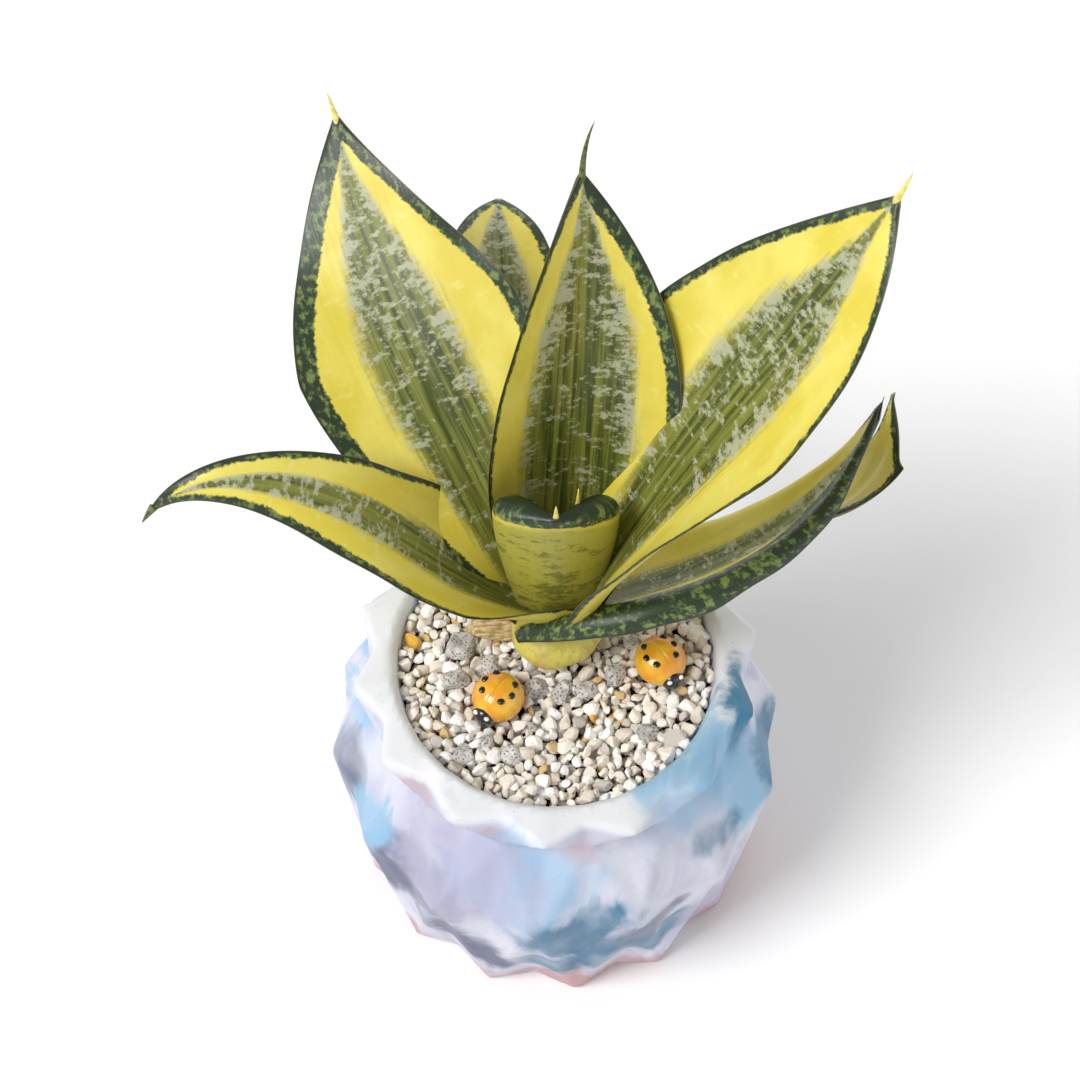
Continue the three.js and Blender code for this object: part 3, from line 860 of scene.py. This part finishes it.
def build_spear():
    """The youngest leaf, rolled into a slender cone with an overlapping edge."""
    foot, tip = np.array(SPEAR["foot"], float), np.array(SPEAR["tip"], float)
    axis = tip - foot
    length = np.linalg.norm(axis)
    axis = axis / length
    side = np.cross(axis, [0, 1, 0])
    side = side / np.linalg.norm(side)
    front = np.cross(axis, side)
    rows, columns = 60, 40
    reach = 9  # the unrolled half-width that its material reads
    points, values, shares = [], [], []
    for row in range(rows + 1):
        t = row / rows
        radius = SPEAR["radius"] * (1 - t ** 2.2) * (0.85 + 0.3 * math.sin(2.2 * t)) + 0.12
        for column in range(columns):
            angle = 2 * math.pi * column / columns
            roll = radius * (1 + 0.16 * (column / columns - 0.5))
            offset = side * roll * math.cos(angle) + front * roll * math.sin(angle)
            points.append(foot + axis * length * t + offset)
            share = 2 * column / columns - 1
            values.append((share * reach, t * length, (1 - abs(share)) * reach))
            shares.append((share, t, 0))
    faces = tube_faces(rows, columns)
    top = len(points)
    points += [tip, foot]
    values += [(0, length, reach), (0, 0, reach)]
    shares += [(0, 1, 0), (0, 0, 0)]
    for column in range(columns):
        following = (column + 1) % columns
        faces.append((rows * columns + column, rows * columns + following, top))
        faces.append((following, column, top + 1))
    looks = {"stripe": 0.5, "border": (2.0, 2.0), "backing": 0.4, "bare": 0.1}
    spear = make_piece("spear_roll", points, faces, leaf_material("spear_skin", looks, 8))
    set_attribute(spear.data, "leaf_share", "FLOAT_VECTOR", shares)
    set_attribute(spear.data, "leaf_place", "FLOAT_VECTOR", values)
    return settle(spear, "leaf", "leaf_spear")


# ---- Stones -------------------------------------------------------------------------------------

CHIP_KINDS = 24
CHIP_STRETCH = ((1.25, 1.8), (1.05, 1.4), (0.8, 1.15))
CHIP_SIZES = [1.1, 1.3, 1.5, 1.5, 1.7, 1.9, 2.2]
DEEP_CHIP_SIZES = [1.4, 1.6, 1.8]
CROWN_KEEP_OFF = (*CROWN_CENTRE, 6.5)


def icosphere(detail):
    """Points and triangles of a unit icosphere."""
    ball = bmesh.new()
    bmesh.ops.create_icosphere(ball, subdivisions=detail, radius=1)
    ball.verts.ensure_lookup_table()
    points = np.array([v.co for v in ball.verts])
    faces = np.array([[v.index for v in f.verts] for f in ball.faces])
    ball.free()
    return points, faces


def chipped(points, draw, planes, depth):
    """A ball's points cut back to random planes, as a broken and worn stone."""
    stone = points.copy()
    for _ in range(planes):
        normal = np.array([draw.gauss(0, 1) for _ in range(3)])
        normal /= np.linalg.norm(normal)
        reach = draw.uniform(*depth)
        over = np.clip(stone @ normal - reach, 0, None)
        stone -= over[:, None] * normal
    return stone


def scatter(draw, radii, keep_off, tries, spacing, reach):
    """Places for discs of random radius inside a circle, clear of each other and of given discs."""
    spots = np.zeros((0, 3))
    blocked = np.array(keep_off, float).reshape(-1, 3)
    for _ in range(tries):
        radius = draw.choice(radii)
        away = math.sqrt(draw.random()) * (reach - radius * 0.6)
        angle = draw.uniform(0, 2 * math.pi)
        x, y = away * math.cos(angle), away * math.sin(angle)
        if len(blocked):
            near = np.hypot(blocked[:, 0] - x, blocked[:, 1] - y)
            if (near < blocked[:, 2] + radius * 0.7).any():
                continue
        if len(spots):
            near = np.hypot(spots[:, 0] - x, spots[:, 1] - y)
            if (near < (spots[:, 2] + radius) * spacing).any():
                continue
        spots = np.vstack([spots, (x, y, radius)])
    return spots


def stone_heap(name, spots, heights, draw, detail, material):
    """One mesh of many chips, each turned and stretched its own way, with a tone for each."""
    ball, faces = icosphere(detail)
    kinds = [chipped(ball, draw, 11, (0.45, 0.85)) for _ in range(CHIP_KINDS)]
    all_points, all_faces, tones = [], [], []
    for (x, y, radius), z in zip(spots, heights):
        turn = np.array(Euler([draw.uniform(0, 6.3) for _ in range(3)]).to_matrix())
        stretch = np.array([draw.uniform(*limits) for limits in CHIP_STRETCH])
        stone = (draw.choice(kinds) * stretch * radius) @ turn.T + np.array([x, y, z])
        all_faces.append(faces + len(all_points) * len(ball))
        all_points.append(stone)
        tones.append(np.full(len(ball), draw.random()))
    triangles = np.vstack(all_faces).tolist()
    heap = make_piece(name, np.vstack(all_points), triangles, material, smooth=False)
    set_attribute(heap.data, "tone", "FLOAT", np.concatenate(tones))
    return settle(heap, "gravel", "gravel_bed")


def plan_disc(node, grow):
    """Middle and mean radius of a node in plan."""
    low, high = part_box(node)
    middle = (low + high) / 2 / MM
    return middle.x, middle.y, (high.x - low.x + high.y - low.y) / 4 / MM + grow


def build_gravel(lumps):
    draw = random.Random(SEED)
    material = gravel_material()
    discs = [plan_disc(node, -0.9) for node in lumps]
    reach = MOUTH - 0.6
    top = scatter(draw, CHIP_SIZES, [CROWN_KEEP_OFF] + discs, 26000, 0.8, reach)
    rise = [GRAVEL_TOP + 2.0 + draw.uniform(-0.5, 0.6) for _ in top]
    half = len(top) // 2
    stone_heap("gravel_top_a", top[:half], rise[:half], draw, 2, material)
    stone_heap("gravel_top_b", top[half:], rise[half:], draw, 2, material)
    for name, lift in (("gravel_middle", 0.2), ("gravel_low", -1.9)):
        spots = scatter(draw, DEEP_CHIP_SIZES, [CROWN_KEEP_OFF], 9000, 0.72, reach)
        levels = [GRAVEL_TOP + lift + draw.uniform(-0.4, 0.4) for _ in spots]
        stone_heap(name, spots, levels, draw, 1, material)


def build_pumice(names):
    draw = random.Random(SEED + 1)
    ball, faces = icosphere(5)
    material = pumice_material()
    for index, node in enumerate(names):
        low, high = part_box(node)
        middle = np.array((low + high) / 2) / MM
        size = np.array(high - low) / MM / 2
        stone = chipped(ball, draw, 12, (0.6, 0.95))
        shift = Vector((index * 3.1, index * 1.7, 0))
        rough = []
        for point in stone:
            at = Vector(point) * 2.4 + shift
            pit = max(0.0, 0.28 - noise.voronoi(at * 1.9)[0][0])
            rough.append(1 + 0.07 * noise.noise(at) - 0.35 * pit)
        stone = stone * np.array(rough)[:, None] * size * 1.06 + middle
        piece = make_piece(node + "_stone", stone, faces.tolist(), material)
        settle(piece, "pumice", node)


# ---- Ornaments ----------------------------------------------------------------------------------

SIDES = ((-1, "right"), (1, "left"))
SHELL_BACK = 0.6  # how far the wing cases sit behind the middle
# The spots' places, forwards and sideways, as shares of the shell's half-sizes.
SHELL_SPOTS = ((0.38, 0.42), (-0.05, 0.6), (-0.5, 0.42))
SHELL_SHARE = (0.94, 0.98)  # of the ornament's length and width


def build_ornament(node, turn, materials):
    """A small glossy beetle: domed wing cases with a seam and round spots, a head and two eyes."""
    low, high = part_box(node)
    middle = (low + high) / 2 / MM
    size = (high - low) / MM / 2
    half = Vector((max(size.x, size.y), min(size.x, size.y), size.z))
    heading = Euler((0, 0, math.radians(turn))).to_matrix()

    def dome(name, centre, radii, material, rings=28, sides=48, squash=0.0):
        points = []
        for ring in range(rings + 1):
            polar_angle = math.pi * ring / rings
            for column in range(sides):
                angle = 2 * math.pi * column / sides
                local = Vector((math.cos(angle) * math.sin(polar_angle),
                                math.sin(angle) * math.sin(polar_angle), math.cos(polar_angle)))
                seam = 1 - squash * math.exp(-((local.y / 0.045) ** 2)) * max(local.z, 0)
                local = Vector((local.x * radii[0], local.y * radii[1], local.z * radii[2])) * seam
                points.append(tuple(heading @ (local + Vector(centre)) + middle))
        faces = [(a, d, c, b) for a, b, c, d in tube_faces(rings, sides)]
        return make_piece(name, points, faces, material)

    shell_half = (half.x * SHELL_SHARE[0], half.y * SHELL_SHARE[1], half.z)
    body = dome(node + "_shell", (-SHELL_BACK, 0, 0), shell_half, materials["shell"], squash=0.05)
    settle(body, "resin", node)
    head = dome(node + "_head", (half.x * 0.78, 0, -half.z * 0.1),
                (half.x * 0.3, half.y * 0.42, half.z * 0.5), materials["black"], 16, 28)
    settle(head, "resin")
    for side, word in SIDES:
        cheek = dome(f"{node}_cheek_{word}",
                     (half.x * 0.93, side * half.y * 0.24, half.z * 0.22),
                     (0.55, 0.7, 0.5), materials["white"], 10, 18)
        settle(cheek, "resin")
    for index, (x, sideways) in enumerate(SHELL_SPOTS):
        for side, word in SIDES:
            y = side * sideways
            z = math.sqrt(max(1 - x * x - y * y, 0.05))
            centre = (x * shell_half[0] - SHELL_BACK, y * shell_half[1], z * half.z)
            spot = dome(f"{node}_spot_{index}_{word}", centre,
                        (0.95, 0.95, 0.42), materials["black"], 8, 18)
            settle(spot, "resin")


# ---- Stage --------------------------------------------------------------------------------------

CAMERA = {"distance": 550, "elevation": 62.3, "lens": 74.4, "shift": (-0.0148, 0.1065)}


def build_camera():
    """The camera looks down on the middle of the pot's lip from the front."""
    data = bpy.data.cameras.new("camera")
    camera = bpy.data.objects.new("camera", data)
    bpy.context.scene.collection.objects.link(camera)
    angle = math.radians(CAMERA["elevation"])
    back, up = CAMERA["distance"] * math.cos(angle), CAMERA["distance"] * math.sin(angle)
    camera.location = Vector((0, -back, POT_HEIGHT + up)) * MM
    camera.rotation_euler = (math.radians(90) - angle, 0, 0)
    data.sensor_width = 36
    data.lens = CAMERA["lens"]
    data.shift_x, data.shift_y = CAMERA["shift"]
    bpy.context.scene.camera = camera


WORLD_STRENGTH = 0.42
KEY = {"energy": 2.5, "spread": 28, "heading": (0.62, 0.30, -0.78)}


def area_light(name, place, aim, size, power):
    data = bpy.data.lights.new(name, "AREA")
    data.size = size
    data.energy = power
    light = bpy.data.objects.new(name, data)
    bpy.context.scene.collection.objects.link(light)
    light.location = place
    light.rotation_euler = (Vector(aim) - Vector(place)).to_track_quat("-Z", "Y").to_euler()


def build_stage():
    """A plain pale floor that curves up into a backdrop all round, a soft key and two weak fills."""
    sides, flat, rise, steps = 96, 2600.0, 1800.0, 12
    profile = [(flat * 0.5, 0), (flat, 0)]
    for step in range(1, steps + 1):
        angle = math.radians(90 / steps * step)
        profile.append((flat + rise * math.sin(angle), rise * (1 - math.cos(angle))))
    points, faces = [(0, 0, 0)], []
    for row, (radius, z) in enumerate(profile):
        for column in range(sides):
            points.append(polar(radius, 360 * column / sides, z))
            following = (column + 1) % sides
            if row:
                a, b = 1 + (row - 1) * sides + column, 1 + (row - 1) * sides + following
                faces.append((a, a + sides, b + sides, b))
            else:
                faces.append((0, 1 + column, 1 + following))
    floor = make_piece("studio_floor", points, faces, floor_material())
    world = bpy.data.worlds.new("studio")
    world.use_nodes = True
    backdrop = world.node_tree.nodes["Background"]
    backdrop.inputs["Color"].default_value = (1, 1, 1, 1)
    backdrop.inputs["Strength"].default_value = WORLD_STRENGTH
    bpy.context.scene.world = world
    target = (0, 0, 0.1)
    sun = bpy.data.lights.new("key", "SUN")
    sun.energy = KEY["energy"]
    sun.angle = math.radians(KEY["spread"])
    key = bpy.data.objects.new("key", sun)
    bpy.context.scene.collection.objects.link(key)
    key.rotation_euler = Vector(KEY["heading"]).to_track_quat("-Z", "Y").to_euler()
    area_light("fill", (0.7, -0.6, 0.5), target, 0.7, 0.7)
    area_light("back", (0.1, 0.9, 0.7), target, 0.6, 1.6)
    bpy.context.scene.view_settings.view_transform = "Standard"


# ---- Assembly -----------------------------------------------------------------------------------

THORN_SKINS = {
    "pale": thorn_material("thorn_pale", rgb(214, 196, 96), rgb(236, 224, 140)),
    "green": thorn_material("thorn_green", rgb(52, 70, 34), rgb(112, 122, 58)),
}

build_camera()
build_stage()
build_pot()
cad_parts["soil"].data.materials.clear()
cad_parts["soil"].data.materials.append(soil_material())
build_crown()
build_leaves()
build_spear()
pumice_names = sorted(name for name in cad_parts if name.startswith("pumice"))
build_pumice(pumice_names)
build_gravel(pumice_names + ["ornament_left", "ornament_right"])
RESINS = {
    "shell": resin_material("resin_orange", rgb(232, 150, 30), rgb(240, 186, 46)),
    "black": resin_material("resin_black", rgb(14, 13, 13), rgb(30, 28, 28)),
    "white": resin_material("resin_white", rgb(238, 236, 230), rgb(250, 248, 244)),
}
build_ornament("ornament_left", -125, RESINS)
build_ornament("ornament_right", -60, RESINS)
